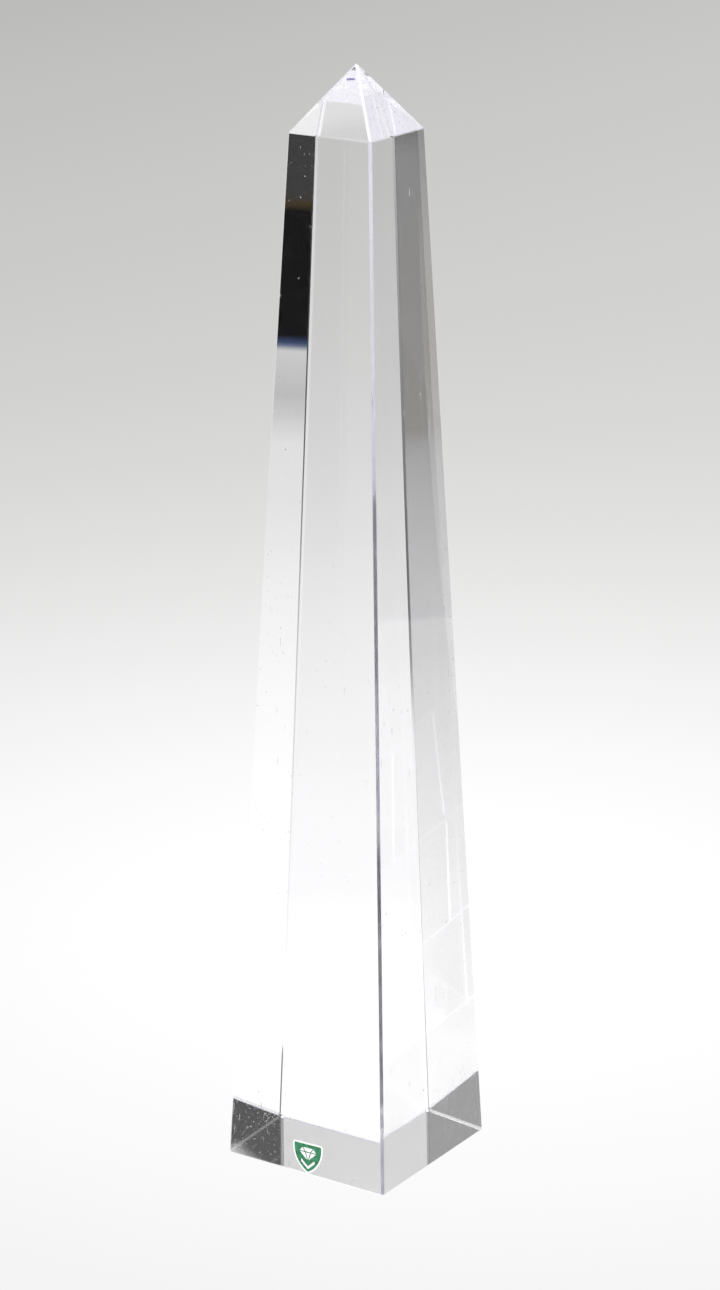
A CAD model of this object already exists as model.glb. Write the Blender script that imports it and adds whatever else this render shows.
from math import cos, pi, radians, sin

import bmesh
import bpy
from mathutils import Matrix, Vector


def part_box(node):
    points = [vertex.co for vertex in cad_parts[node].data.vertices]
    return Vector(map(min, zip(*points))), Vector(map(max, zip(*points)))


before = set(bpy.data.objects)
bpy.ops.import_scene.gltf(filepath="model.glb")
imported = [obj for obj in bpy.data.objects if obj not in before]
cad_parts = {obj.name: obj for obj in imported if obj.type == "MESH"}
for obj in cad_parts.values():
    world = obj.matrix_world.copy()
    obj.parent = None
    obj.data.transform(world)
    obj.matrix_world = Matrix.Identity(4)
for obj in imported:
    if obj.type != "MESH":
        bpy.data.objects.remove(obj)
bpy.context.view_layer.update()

# Crystal obelisk award on a pale floor. Metres, in the same frame as the CAD: +Z up, the
# origin in the middle of the bottom face, and the sticker on the face that looks to -Y.
# All four pieces are the CAD's own; this script gives them their finishes and a studio.

CRYSTAL_LOW, CRYSTAL_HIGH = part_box("crystal_obelisk")
HEIGHT = CRYSTAL_HIGH.z - CRYSTAL_LOW.z
MILLIMETRE = 0.001

# Camera: lengths are in heights of the obelisk
CAMERA_TURN = 33.61  # degrees round to the right of the sticker's face
CAMERA_DISTANCE = 3.1866  # level distance from the axis
CAMERA_HEIGHT = 1.4964
CAMERA_PITCH = 17.645  # degrees downwards
CAMERA_YAW = -0.057  # degrees left of straight at the axis
LENS = 104.91
CLIP_START = 0.05
CLIP_END = 60.0

# Crystal
CRYSTAL_IOR = 1.65
CRYSTAL_GLOSS = 0.43  # specular level that gives the reflectance of plain optical crystal
CRYSTAL_TINT = (0.48, 0.46, 0.65, 1.0)  # what is left of white light after a long way inside
CRYSTAL_TINT_DENSITY = 1.0
BEVEL_ROUGHNESS = 0.15
BOTTOM_BEVEL_ROUGHNESS = 0.22
BOTTOM_BEVEL_TOP = 0.6 * MILLIMETRE
BOTTOM_BEVEL_FADE = 0.05 * MILLIMETRE  # height over which its roughness sets in, and ends
FLAT_NORMAL = 0.76  # a normal with a part above this lies on one of the large flats

# Marks on the polished flats: fine hairlines, dust, and short nicks that run three ways.
# Dust and nicks get denser towards the bottom, where the block is handled and set down.
# Turns are in radians.
HAIRLINES = [((0.3, 0.9, 0.2), 0.9 * MILLIMETRE), ((1.2, -0.5, 0.8), 1.1 * MILLIMETRE)]
HAIRLINE_STRETCH = 0.02  # a hairline's width over its length
HAIRLINE_THRESHOLD = 0.84  # level of the noise above which there is a hairline
HAIRLINE_SOFTNESS = 0.03
HAIRLINE_DEPTH = 0.05  # as a share of the other marks' depth
SPECK_CORE = 0.6  # share of a speck's radius that is at full depth
DUST_SPACING = 3.2 * MILLIMETRE
DUST_SIZE = 0.1  # radius of a speck, as a share of the spacing
DUST_SHARE = 0.28  # of the places that hold one
WEAR_SPACING = 1.8 * MILLIMETRE
WEAR_SIZE = 0.15
WEAR_SHARE = 0.55  # at the bottom; none from WEAR_HEIGHT up
WEAR_HEIGHT = 25 * MILLIMETRE
NICK_TURNS = [(0.0, 0.05, 0.0), (0.9, 0.3, 0.5), (-0.6, 1.1, 0.2)]
NICK_SPACING = 1.6 * MILLIMETRE
NICK_SIZE = 0.13
NICK_STRETCH = 0.12  # a nick's width over its length
NICK_SHARES = (0.38, 0.01)  # at the bottom, and from WEAR_HEIGHT up
MARK_ROUGHNESS = 0.75
MARK_DEPTH = 0.03 * MILLIMETRE
MARK_STRENGTH = 0.5

# Sticker films: the darkest and the lightest colour of their mottle, and the roughness
ADHESIVE_FINISH = ((0.72, 0.72, 0.66), (0.8, 0.8, 0.75), 0.4)
STOCK_FINISH = ((0.84, 0.85, 0.84), (0.9, 0.91, 0.9), 0.35)
INK_FINISH = ((0.006, 0.12, 0.045), (0.03, 0.26, 0.12), 0.35)
FILM_UNEVENNESS = 0.08  # of the roughness, up and down
FILM_MOTTLE = MILLIMETRE / 0.7  # size of the colour's patches
FILM_GRAIN = MILLIMETRE / 6  # size of the orange peel
FILM_RELIEF = 0.02 * MILLIMETRE
FILM_STRENGTH = 0.3

# Floor: an even tone, a soft pool of light round the object, and a slow rise to the right
FLOOR_RADIUS = 16.0
FLOOR_SEGMENTS = 96
FLOOR_GAP = 0.1 * MILLIMETRE  # air under the polished bottom face
FLOOR_TONE = (0.696, 0.694, 0.683)
FLOOR_SLOPE = 0.16  # relative rise per metre towards +X
FLOOR_SLOPE_REACH = 2.5
POOL_TONE = (0.347, 0.343, 0.358)
POOL_CENTRE = (-0.11, 0.17, 0.0)
POOL_RADIUS = 0.748
POOL_POWER = 2.926

# Room: tones by the sine of the elevation, pale at the horizon, with a bright ceiling panel
ROOM_TONES = [(0.0, (0.64, 0.64, 0.63)), (0.42, 0.7), (0.78, 0.9), (0.86, 4.0), (1.0, 4.0)]

# Light paths inside the crystal
BOUNCES = 64

# Softbox that lights the sticker
SOFTBOX_TURN = -70.0  # degrees from +X
SOFTBOX_DISTANCE = 1.2
SOFTBOX_HEIGHT = 1.2
SOFTBOX_SIZE = 1.0
SOFTBOX_POWER = 18.0

# Studio cards: glowing sheets round the object that only show through the crystal or
# mirrored on it. Each is swept round the object's axis, or round its own plan point
# "centre". Bearings are degrees to the right of the camera's heading, as seen from there.
# Profiles run outwards, as (distance, height), and tones are (distance, grey or colour).
# A card is soft over its first "fade" metres, and at its sides over "edge" degrees.
CARD_STEPS = 24  # facets of a curved card
CARD_HEIGHT = 1 * MILLIMETRE  # of a card that lies on the floor
CARD_LEAN = 0.02  # how much further out a standing card's top is
UNDER_FOOT = -0.05 * MILLIMETRE  # between the floor and the block's bottom face
DASH_HEIGHT = -0.03 * MILLIMETRE
FLAG_TONE = (0.335, 0.333, 0.318)


def bent_card(bearings, profile, tones, fade, edge, centre=(0.0, 0.0)):
    """Card with any profile."""
    return {
        "bearings": bearings,
        "profile": profile,
        "tones": tones,
        "fade": fade,
        "edge": edge,
        "centre": centre,
    }


def lying_card(bearings, tones, fade, edge, height=CARD_HEIGHT, centre=(0.0, 0.0)):
    """Card that lies flat, from its first tone's distance to its last."""
    profile = [(tones[0][0], height), (tones[-1][0], height)]
    return bent_card(bearings, profile, tones, fade, edge, centre)


def standing_card(bearings, distance, low, high, tone, edge=1.0):
    """Upright card of one tone, between two heights."""
    far = distance + CARD_LEAN
    return bent_card(bearings, [(distance, low), (far, high)], [(distance, tone), (far, tone)], 0.0, edge)


CARDS = {
    # White sheet round the foot, which lights the point through the bottom face
    "near_glow": lying_card(
        bearings=(-90.0, 269.9),
        tones=[(0.001, 1.11), (0.03, 1.11), (0.04, 1.16), (0.1, 1.14), (0.2, 1.04)],
        fade=0.0,
        edge=0.1,
        height=UNDER_FOOT,
    ),
    # Small blue and violet mark, seen as a dash near the point
    "far_dash": lying_card(
        bearings=(26.5, 34.0),
        tones=[(0.025, (0.26, 0.12, 0.25)), (0.0265, (0.25, 0.27, 0.62))],
        fade=0.0001,
        edge=0.5,
        height=DASH_HEIGHT,
    ),
    # Left edge strip, from its foot to its top: white, a blue rim, black, a brown rim, grey
    "dark_card": bent_card(
        bearings=(56.0, 79.0),
        profile=[(0.17, CARD_HEIGHT), (1.2, CARD_HEIGHT), (1.22, 1.6)],
        tones=[
            (0.17, 1.13), (0.25, 1.09), (0.31, 1.05), (0.41, 0.97), (0.52, 0.87), (0.585, 0.86),
            (0.625, 0.67), (0.65, 0.57), (0.69, 0.64), (0.713, 0.68), (0.722, (0.06, 0.09, 0.2)),
            (0.735, 0.004), (0.94, 0.004), (0.955, (0.06, 0.04, 0.02)), (0.97, 0.05), (1.2, 0.05),
            (1.21, 0.02), (1.23, 0.02),
        ],
        fade=0.02,
        edge=3.0,
    ),
    # Right edge strip, and the foot's blocks through the wall behind
    "grey_card": bent_card(
        bearings=(-129.0, -99.0),
        profile=[(0.08, CARD_HEIGHT), (1.0, CARD_HEIGHT), (1.1, 0.3), (1.6, 1.6)],
        tones=[
            (0.08, 1.06), (0.12, 0.97), (0.16, 0.88), (0.202, 0.795), (0.249, 0.72), (0.3, 0.68),
            (0.352, 0.62), (0.45, 0.51), (0.505, 0.43), (0.525, (0.33, 0.325, 0.305)),
            (0.76, (0.31, 0.306, 0.296)), (0.9, 0.3), (1.0, 0.1), (1.02, 0.05), (1.1, 0.05),
            (1.13, 0.26), (1.6, 0.26),
        ],
        fade=0.05,
        edge=1.0,
    ),
    # Lowest part of the right edge strip
    "near_grey_card": lying_card(
        bearings=(-150.0, -70.0),
        tones=[(0.03, 1.12), (0.08, 1.06), (0.12, 0.97), (0.16, 0.88), (0.2, 0.8), (0.22, 0.76)],
        fade=0.03,
        edge=12.0,
        height=0.5 * MILLIMETRE,
    ),
    # Paler outer half of the right edge strip. Its inner side is the seam in the strip.
    "pale_card": lying_card(
        bearings=(-129.0, -114.7),
        tones=[
            (0.08, 1.06), (0.12, 0.99), (0.16, 0.9), (0.202, 0.83), (0.266, 0.77), (0.352, 0.7),
            (0.45, 0.6), (0.505, 0.52), (0.525, (0.45, 0.44, 0.42)), (0.62, (0.385, 0.37, 0.347)),
            (0.76, (0.37, 0.358, 0.337)), (0.9, 0.28), (1.0, 0.17),
        ],
        fade=0.05,
        edge=0.05,
        height=2 * MILLIMETRE,
        centre=(-0.0081, 0.0052),
    ),
    # Dark side of the room behind the camera, which darkens the foot's blocks
    "camera_side": bent_card(
        bearings=(92.0, 231.0),
        profile=[(0.03, CARD_HEIGHT), (1.3, CARD_HEIGHT), (1.32, 1.5)],
        tones=[
            (0.03, 1.1), (0.09, 0.97), (0.15, 0.84), (0.2, 0.72), (0.25, 0.56), (0.3, 0.33),
            (0.35, 0.12), (0.4, 0.03), (0.5, 0.0), (1.3, 0.0), (1.32, FLAG_TONE),
        ],
        fade=0.06,
        edge=5.0,
    ),
    # Grey flags round the room, which darken the bevels
    "left_flag": standing_card((-98.0, -16.0), 1.3, 0.06, 1.1, FLAG_TONE, edge=2.0),
    "right_flag": standing_card((14.0, 56.0), 1.3, 0.06, 1.1, FLAG_TONE, edge=2.0),
    # Dark and pale lines along the inner sides of the edge strips
    "edge_flag": lying_card(
        bearings=(-46.0, -33.0),
        tones=[(0.3, 0.5), (0.4, 0.2), (0.5, 0.12), (0.73, 0.25), (1.2, 0.5)],
        fade=0.1,
        edge=2.0,
    ),
    "edge_glow": lying_card(
        bearings=(32.0, 54.0),
        tones=[(0.2, 1.08), (0.46, 0.98), (0.7, 0.86), (1.2, 0.8)],
        fade=0.1,
        edge=2.0,
    ),
    # Grey field in the point's left facet, and the pale one outside it
    "facet_card": lying_card(
        bearings=(-17.0, -4.0),
        tones=[(0.33, 0.6), (0.383, 0.61), (0.396, 0.73), (0.46, 0.75), (0.9, 0.68)],
        fade=0.01,
        edge=0.5,
    ),
    "outer_facet_card": lying_card(
        bearings=(72.0, 85.0),
        tones=[(0.27, 0.92), (0.37, 0.86)],
        fade=0.01,
        edge=0.5,
        height=2 * MILLIMETRE,
    ),
    # Bright panels low on the walls, seen in the foot, the bevels and the point's ridge
    "low_glow": standing_card((-13.0, 12.0), 1.1, 0.12, 0.43, 1.2),
    "bevel_glow": standing_card((101.0, 113.0), 1.2, 0.58, 0.72, 1.8),
    "ridge_glow": standing_card((-38.0, -26.0), 1.1, 0.11, 0.32, 1.9),
    "right_glow": standing_card((58.0, 65.0), 1.1, 0.06, 0.25, 1.2),
    "left_glow": standing_card((-108.0, -98.0), 0.95, 0.06, 0.35, 1.2),
}


# --- node helpers -------------------------------------------------------------------

class Graph:
    """Nodes of one material or world, with short calls to add and link them."""

    def __init__(self, owner):
        owner.use_nodes = True
        self.tree = owner.node_tree
        self.tree.nodes.clear()

    def add(self, kind, inputs=None, **settings):
        node = self.tree.nodes.new(kind)
        for name, value in settings.items():
            setattr(node, name, value)
        for name, value in (inputs or {}).items():
            self.set(node.inputs[name], value)
        return node

    def set(self, socket, value):
        if isinstance(value, bpy.types.NodeSocket):
            self.tree.links.new(value, socket)
        else:
            socket.default_value = value

    def math(self, operation, first, second=0.0, clamp=False):
        inputs = {0: first, 1: second}
        return self.add("ShaderNodeMath", inputs, operation=operation, use_clamp=clamp).outputs[0]

    def vector_math(self, operation, first, second=(0, 0, 0)):
        inputs = {0: first, 1: second}
        return self.add("ShaderNodeVectorMath", inputs, operation=operation)

    def map_range(self, value, low, high, to_low, to_high, smooth=False):
        inputs = {"Value": value, "From Min": low, "From Max": high, "To Min": to_low, "To Max": to_high}
        kind = "SMOOTHSTEP" if smooth else "LINEAR"
        return self.add("ShaderNodeMapRange", inputs, interpolation_type=kind).outputs["Result"]

    def mix_colour(self, factor, first, second):
        node = self.add("ShaderNodeMix", data_type="RGBA")
        self.set(node.inputs["Factor"], factor)
        self.set(node.inputs[6], first)
        self.set(node.inputs[7], second)
        return node.outputs[2]

    def ramp(self, value, stops):
        """Colour by value, through stops of (value, grey or colour) in rising order."""
        low, high = stops[0][0], stops[-1][0]
        node = self.add("ShaderNodeValToRGB")
        elements = node.color_ramp.elements
        while len(elements) < len(stops):
            elements.new(0.5)
        for element, (place, tone) in zip(elements, stops):
            element.position = (place - low) / (high - low)
            element.color = rgba(tone)
        self.set(node.inputs["Fac"], self.map_range(value, low, high, 0.0, 1.0))
        return node.outputs["Color"]


def rgba(tone):
    """RGBA from a grey level or an RGB colour."""
    if isinstance(tone, (int, float)):
        tone = (tone, tone, tone)
    return (*tone, 1.0)


def new_material(name):
    material = bpy.data.materials.new(name)
    return material, Graph(material)


# --- finishes of the pieces ---------------------------------------------------------

def scratches(graph, position, turn, spacing):
    """Mask of fine hairlines that run one way: noise stretched along its own Z axis."""
    stretch = {"Vector": position, "Rotation": turn, "Scale": (1.0, 1.0, HAIRLINE_STRETCH)}
    stretched = graph.add("ShaderNodeMapping", stretch, vector_type="POINT").outputs["Vector"]
    inputs = {"Vector": stretched, "Scale": 1.0 / spacing, "Detail": 2.0, "Roughness": 0.6}
    noise = graph.add("ShaderNodeTexNoise", inputs).outputs["Fac"]
    full = HAIRLINE_THRESHOLD + HAIRLINE_SOFTNESS
    return graph.map_range(noise, HAIRLINE_THRESHOLD, full, 0.0, 1.0)


def specks(graph, position, spacing, size, share):
    """Mask of separate round specks: cells of a Voronoi pattern, of which a share hold one."""
    cells = graph.add("ShaderNodeTexVoronoi", {"Vector": position, "Scale": 1.0 / spacing})
    core = size * SPECK_CORE
    near = graph.map_range(cells.outputs["Distance"], core, size, 1.0, 0.0)
    chance = graph.add("ShaderNodeSeparateColor", {"Color": cells.outputs["Color"]}).outputs[0]
    chosen = graph.math("LESS_THAN", chance, share)
    return graph.math("MULTIPLY", near, chosen)


def on_flats(graph, normal):
    """Mask of the large flats: 1 where the normal lies near the X, Y or Z axis."""
    size = graph.vector_math("ABSOLUTE", normal).outputs["Vector"]
    parts = graph.add("ShaderNodeSeparateXYZ", {"Vector": size})
    sideways = graph.math("MAXIMUM", parts.outputs["X"], parts.outputs["Y"])
    largest = graph.math("MAXIMUM", sideways, parts.outputs["Z"])
    return graph.math("GREATER_THAN", largest, FLAT_NORMAL)


def crystal_marks(graph, position, above_bottom):
    """Mask of what lies on the polished flats: faint hairlines, dust and short nicks."""
    first, second = (scratches(graph, position, turn, spacing) for turn, spacing in HAIRLINES)
    hairlines = graph.math("MULTIPLY", graph.math("MAXIMUM", first, second), HAIRLINE_DEPTH)
    wear = graph.map_range(above_bottom, 0.0, WEAR_HEIGHT, WEAR_SHARE, 0.0)
    dust = graph.math(
        "MAXIMUM",
        specks(graph, position, DUST_SPACING, DUST_SIZE, DUST_SHARE),
        specks(graph, position, WEAR_SPACING, WEAR_SIZE, wear),
    )
    marks = graph.math("MAXIMUM", hairlines, dust)
    nick_share = graph.map_range(above_bottom, 0.0, WEAR_HEIGHT, *NICK_SHARES)
    for turn in NICK_TURNS:
        nick = {"Vector": position, "Rotation": turn, "Scale": (1.0, 1.0, NICK_STRETCH)}
        stretched = graph.add("ShaderNodeMapping", nick, vector_type="POINT").outputs["Vector"]
        nicks = specks(graph, stretched, NICK_SPACING, NICK_SIZE, nick_share)
        marks = graph.math("MAXIMUM", marks, nicks)
    return marks


def bevel_roughness(graph, flats, above_bottom):
    """Roughness of the bevels, which are polished less than the flats; 0 on the flats."""
    bevels = graph.math("MULTIPLY", graph.math("SUBTRACT", 1.0, flats), BEVEL_ROUGHNESS)
    fade = BOTTOM_BEVEL_FADE
    above_face = graph.map_range(above_bottom, fade, 2 * fade, 0.0, 1.0)
    below_top = graph.map_range(above_bottom, BOTTOM_BEVEL_TOP - fade, BOTTOM_BEVEL_TOP, 1.0, 0.0)
    on_bottom_bevel = graph.math("MULTIPLY", above_face, below_top)
    bottom_bevel = graph.math("MULTIPLY", on_bottom_bevel, BOTTOM_BEVEL_ROUGHNESS)
    return graph.math("MAXIMUM", bevels, bottom_bevel)


def crystal_material():
    """Water-clear cut crystal: polished flats with fine marks, and softer bevels."""
    material, graph = new_material("cut_crystal")
    geometry = graph.add("ShaderNodeNewGeometry")
    position = geometry.outputs["Position"]
    above_bottom = graph.add("ShaderNodeSeparateXYZ", {"Vector": position}).outputs["Z"]
    flats = on_flats(graph, geometry.outputs["True Normal"])

    marks = graph.math("MULTIPLY", crystal_marks(graph, position, above_bottom), flats)
    polish = bevel_roughness(graph, flats, above_bottom)
    roughness = graph.math("ADD", polish, graph.math("MULTIPLY", marks, MARK_ROUGHNESS), clamp=True)
    height = graph.math("MULTIPLY", marks, -1.0)
    dents = {"Strength": MARK_STRENGTH, "Distance": MARK_DEPTH, "Height": height}
    bump = graph.add("ShaderNodeBump", dents)

    shader = graph.add("ShaderNodeBsdfPrincipled")
    shader.inputs["Base Color"].default_value = (1.0, 1.0, 1.0, 1.0)
    shader.inputs["IOR"].default_value = CRYSTAL_IOR
    shader.inputs["Specular IOR Level"].default_value = CRYSTAL_GLOSS
    shader.inputs["Transmission Weight"].default_value = 1.0
    graph.set(shader.inputs["Roughness"], roughness)
    graph.set(shader.inputs["Normal"], bump.outputs["Normal"])

    absorption = graph.add("ShaderNodeVolumeAbsorption")
    absorption.inputs["Color"].default_value = CRYSTAL_TINT
    absorption.inputs["Density"].default_value = CRYSTAL_TINT_DENSITY
    outputs = {"Surface": shader.outputs["BSDF"], "Volume": absorption.outputs["Volume"]}
    graph.add("ShaderNodeOutputMaterial", outputs)
    return material


def film_material(name, dark, light, roughness):
    """Coated film or print: a mottled colour, with a fine orange-peel surface."""
    material, graph = new_material(name)
    position = graph.add("ShaderNodeNewGeometry").outputs["Position"]
    mottle_inputs = {"Vector": position, "Scale": 1.0 / FILM_MOTTLE, "Detail": 3.0}
    mottle = graph.add("ShaderNodeTexNoise", mottle_inputs).outputs["Fac"]
    grain_inputs = {"Vector": position, "Scale": 1.0 / FILM_GRAIN, "Detail": 2.0}
    grain = graph.add("ShaderNodeTexNoise", grain_inputs).outputs["Fac"]
    colour = graph.mix_colour(graph.map_range(mottle, 0.35, 0.7, 0.0, 1.0), rgba(dark), rgba(light))
    smoothest, roughest = roughness - FILM_UNEVENNESS, roughness + FILM_UNEVENNESS
    relief = {"Strength": FILM_STRENGTH, "Distance": FILM_RELIEF, "Height": grain}
    bump = graph.add("ShaderNodeBump", relief)

    shader = graph.add("ShaderNodeBsdfPrincipled")
    graph.set(shader.inputs["Base Color"], colour)
    graph.set(shader.inputs["Roughness"], graph.map_range(grain, 0.3, 0.7, smoothest, roughest))
    graph.set(shader.inputs["Normal"], bump.outputs["Normal"])
    graph.add("ShaderNodeOutputMaterial", {"Surface": shader.outputs["BSDF"]})
    return material


def finish_pieces():
    """Gives each CAD node its finish."""
    finishes = {
        "crystal_obelisk": crystal_material(),
        "label_adhesive": film_material("adhesive_film", *ADHESIVE_FINISH),
        "label_stock": film_material("label_film", *STOCK_FINISH),
        "label_ink": film_material("label_ink", *INK_FINISH),
    }
    for node, material in finishes.items():
        for material_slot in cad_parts[node].material_slots:
            material_slot.material = material


# --- studio -------------------------------------------------------------------------

def stage_object(name, mesh, material, seen_by_camera=True):
    """A floor or card: part of the studio, not of the object."""
    mesh.materials.append(material)
    staged = bpy.data.objects.new(name, mesh)
    bpy.context.scene.collection.objects.link(staged)
    staged.visible_camera = seen_by_camera
    staged.visible_diffuse = seen_by_camera


def emission_output(graph, colour):
    glow = graph.add("ShaderNodeEmission", {"Color": colour})
    graph.add("ShaderNodeOutputMaterial", {"Surface": glow.outputs["Emission"]})


def floor_material():
    """Pale floor whose tone holds the soft light that falls on it."""
    material, graph = new_material("pale_floor")
    position = graph.add("ShaderNodeNewGeometry").outputs["Position"]
    from_centre = graph.vector_math("SUBTRACT", position, POOL_CENTRE)
    distance = graph.vector_math("LENGTH", from_centre.outputs["Vector"]).outputs["Value"]
    reach = graph.math("DIVIDE", distance, POOL_RADIUS)
    spread = graph.math("ADD", graph.math("MULTIPLY", reach, reach), 1.0)
    pool = graph.math("POWER", spread, -POOL_POWER)
    pool_light = graph.add("ShaderNodeVectorMath", {0: POOL_TONE, "Scale": pool}, operation="SCALE")

    across = graph.add("ShaderNodeSeparateXYZ", {"Vector": position}).outputs["X"]
    rise = FLOOR_SLOPE * FLOOR_SLOPE_REACH
    slope = graph.map_range(across, -FLOOR_SLOPE_REACH, FLOOR_SLOPE_REACH, 1.0 - rise, 1.0 + rise)
    even_light = graph.add("ShaderNodeVectorMath", {0: FLOOR_TONE, "Scale": slope}, operation="SCALE")
    light = graph.vector_math("ADD", pool_light.outputs["Vector"], even_light.outputs["Vector"])
    emission_output(graph, light.outputs["Vector"])
    return material


def make_floor():
    mesh = bpy.data.meshes.new("floor")
    shape = bmesh.new()
    bmesh.ops.create_circle(shape, cap_ends=True, radius=FLOOR_RADIUS, segments=FLOOR_SEGMENTS)
    bmesh.ops.translate(shape, verts=shape.verts, vec=(0, 0, -FLOOR_GAP))
    shape.to_mesh(mesh)
    shape.free()
    stage_object("floor", mesh, floor_material())


def card_direction(bearing):
    """Angle from +X of a bearing, in radians."""
    return pi / 2 + radians(CAMERA_TURN - bearing)


def card_material(name, card):
    """Glow whose tone depends on the distance from the card's centre, with soft borders."""
    material, graph = new_material(name)
    position = graph.add("ShaderNodeNewGeometry").outputs["Position"]
    from_centre = graph.vector_math("SUBTRACT", position, (*card["centre"], 0)).outputs["Vector"]
    level = graph.vector_math("MULTIPLY", from_centre, (1, 1, 0)).outputs["Vector"]
    distance = graph.vector_math("LENGTH", level).outputs["Value"]
    tone = graph.ramp(distance, card["tones"])

    first, last = (card_direction(bearing) for bearing in card["bearings"])
    middle = (cos((first + last) / 2), sin((first + last) / 2), 0)
    heading = graph.vector_math("NORMALIZE", level).outputs["Vector"]
    aim = graph.vector_math("DOT_PRODUCT", heading, middle).outputs["Value"]
    half_width = abs(first - last) / 2
    edge_start = cos(half_width - radians(card["edge"]))
    opacity = graph.map_range(aim, cos(half_width), edge_start, 0.0, 1.0, smooth=True)
    if card["fade"] > 0:
        near = card["profile"][0][0]
        from_near_edge = graph.map_range(distance, near, near + card["fade"], 0.0, 1.0, smooth=True)
        opacity = graph.math("MULTIPLY", opacity, from_near_edge)

    clear = graph.add("ShaderNodeBsdfTransparent").outputs["BSDF"]
    glow = graph.add("ShaderNodeEmission", {"Color": tone}).outputs["Emission"]
    mix = graph.add("ShaderNodeMixShader", {0: opacity, 1: clear, 2: glow})
    graph.add("ShaderNodeOutputMaterial", {"Surface": mix.outputs["Shader"]})
    return material


def make_card(name, card):
    """Curved card: its profile is swept round its centre, from one bearing to the other."""
    first, last = (card_direction(bearing) for bearing in card["bearings"])
    mesh = bpy.data.meshes.new(name)
    shape = bmesh.new()
    x, y = card["centre"]
    columns = []
    for step in range(CARD_STEPS + 1):
        angle = first + (last - first) * step / CARD_STEPS
        across, along = cos(angle), sin(angle)
        columns.append([shape.verts.new((x + r * across, y + r * along, z)) for r, z in card["profile"]])
    for column, next_column in zip(columns, columns[1:]):
        for k in range(len(column) - 1):
            shape.faces.new((column[k], column[k + 1], next_column[k + 1], next_column[k]))
    shape.to_mesh(mesh)
    shape.free()
    stage_object(name, mesh, card_material(name, card), seen_by_camera=False)


def make_world():
    """Even studio room: pale at the horizon, with a bright ceiling panel."""
    world = bpy.data.worlds.new("studio")
    bpy.context.scene.world = world
    graph = Graph(world)
    direction = graph.add("ShaderNodeTexCoord").outputs["Generated"]
    up = graph.add("ShaderNodeSeparateXYZ", {"Vector": direction}).outputs["Z"]
    background = graph.add("ShaderNodeBackground", {"Color": graph.ramp(up, ROOM_TONES)})
    graph.add("ShaderNodeOutputWorld", {"Surface": background.outputs["Background"]})


def make_softbox():
    """Square area light that looks at the middle of the object and only lights its surfaces."""
    light = bpy.data.lights.new("front_softbox", "AREA")
    light.size = SOFTBOX_SIZE
    light.energy = SOFTBOX_POWER
    softbox = bpy.data.objects.new("front_softbox", light)
    bpy.context.scene.collection.objects.link(softbox)
    angle = radians(SOFTBOX_TURN)
    softbox.location = (SOFTBOX_DISTANCE * cos(angle), SOFTBOX_DISTANCE * sin(angle), SOFTBOX_HEIGHT)
    middle = (CRYSTAL_LOW + CRYSTAL_HIGH) / 2
    softbox.rotation_euler = (softbox.location - middle).to_track_quat("Z", "Y").to_euler()
    softbox.visible_camera = False
    softbox.visible_glossy = False
    softbox.visible_transmission = False


def make_camera():
    camera_data = bpy.data.cameras.new("camera")
    camera_data.lens = LENS
    camera_data.sensor_fit = "AUTO"
    camera_data.clip_start = CLIP_START
    camera_data.clip_end = CLIP_END
    camera = bpy.data.objects.new("camera", camera_data)
    bpy.context.scene.collection.objects.link(camera)
    turn = radians(CAMERA_TURN)
    distance = CAMERA_DISTANCE * HEIGHT
    camera.location = (distance * sin(turn), -distance * cos(turn), CAMERA_HEIGHT * HEIGHT)
    camera.rotation_euler = (pi / 2 - radians(CAMERA_PITCH), 0.0, turn + radians(CAMERA_YAW))
    bpy.context.scene.camera = camera


def set_rendering():
    """Plain colours, and enough bounces for light that runs up and down inside the crystal.

    The denoiser works on the picture alone: albedo and normals seen through crystal are noise.
    """
    scene = bpy.context.scene
    scene.view_settings.view_transform = "Standard"
    scene.cycles.max_bounces = BOUNCES
    scene.cycles.transmission_bounces = BOUNCES
    scene.cycles.glossy_bounces = BOUNCES
    scene.cycles.use_denoising = True
    scene.cycles.denoising_input_passes = "RGB"


finish_pieces()
make_floor()
for card_name, card in CARDS.items():
    make_card(card_name, card)
make_world()
make_softbox()
make_camera()
set_rendering()
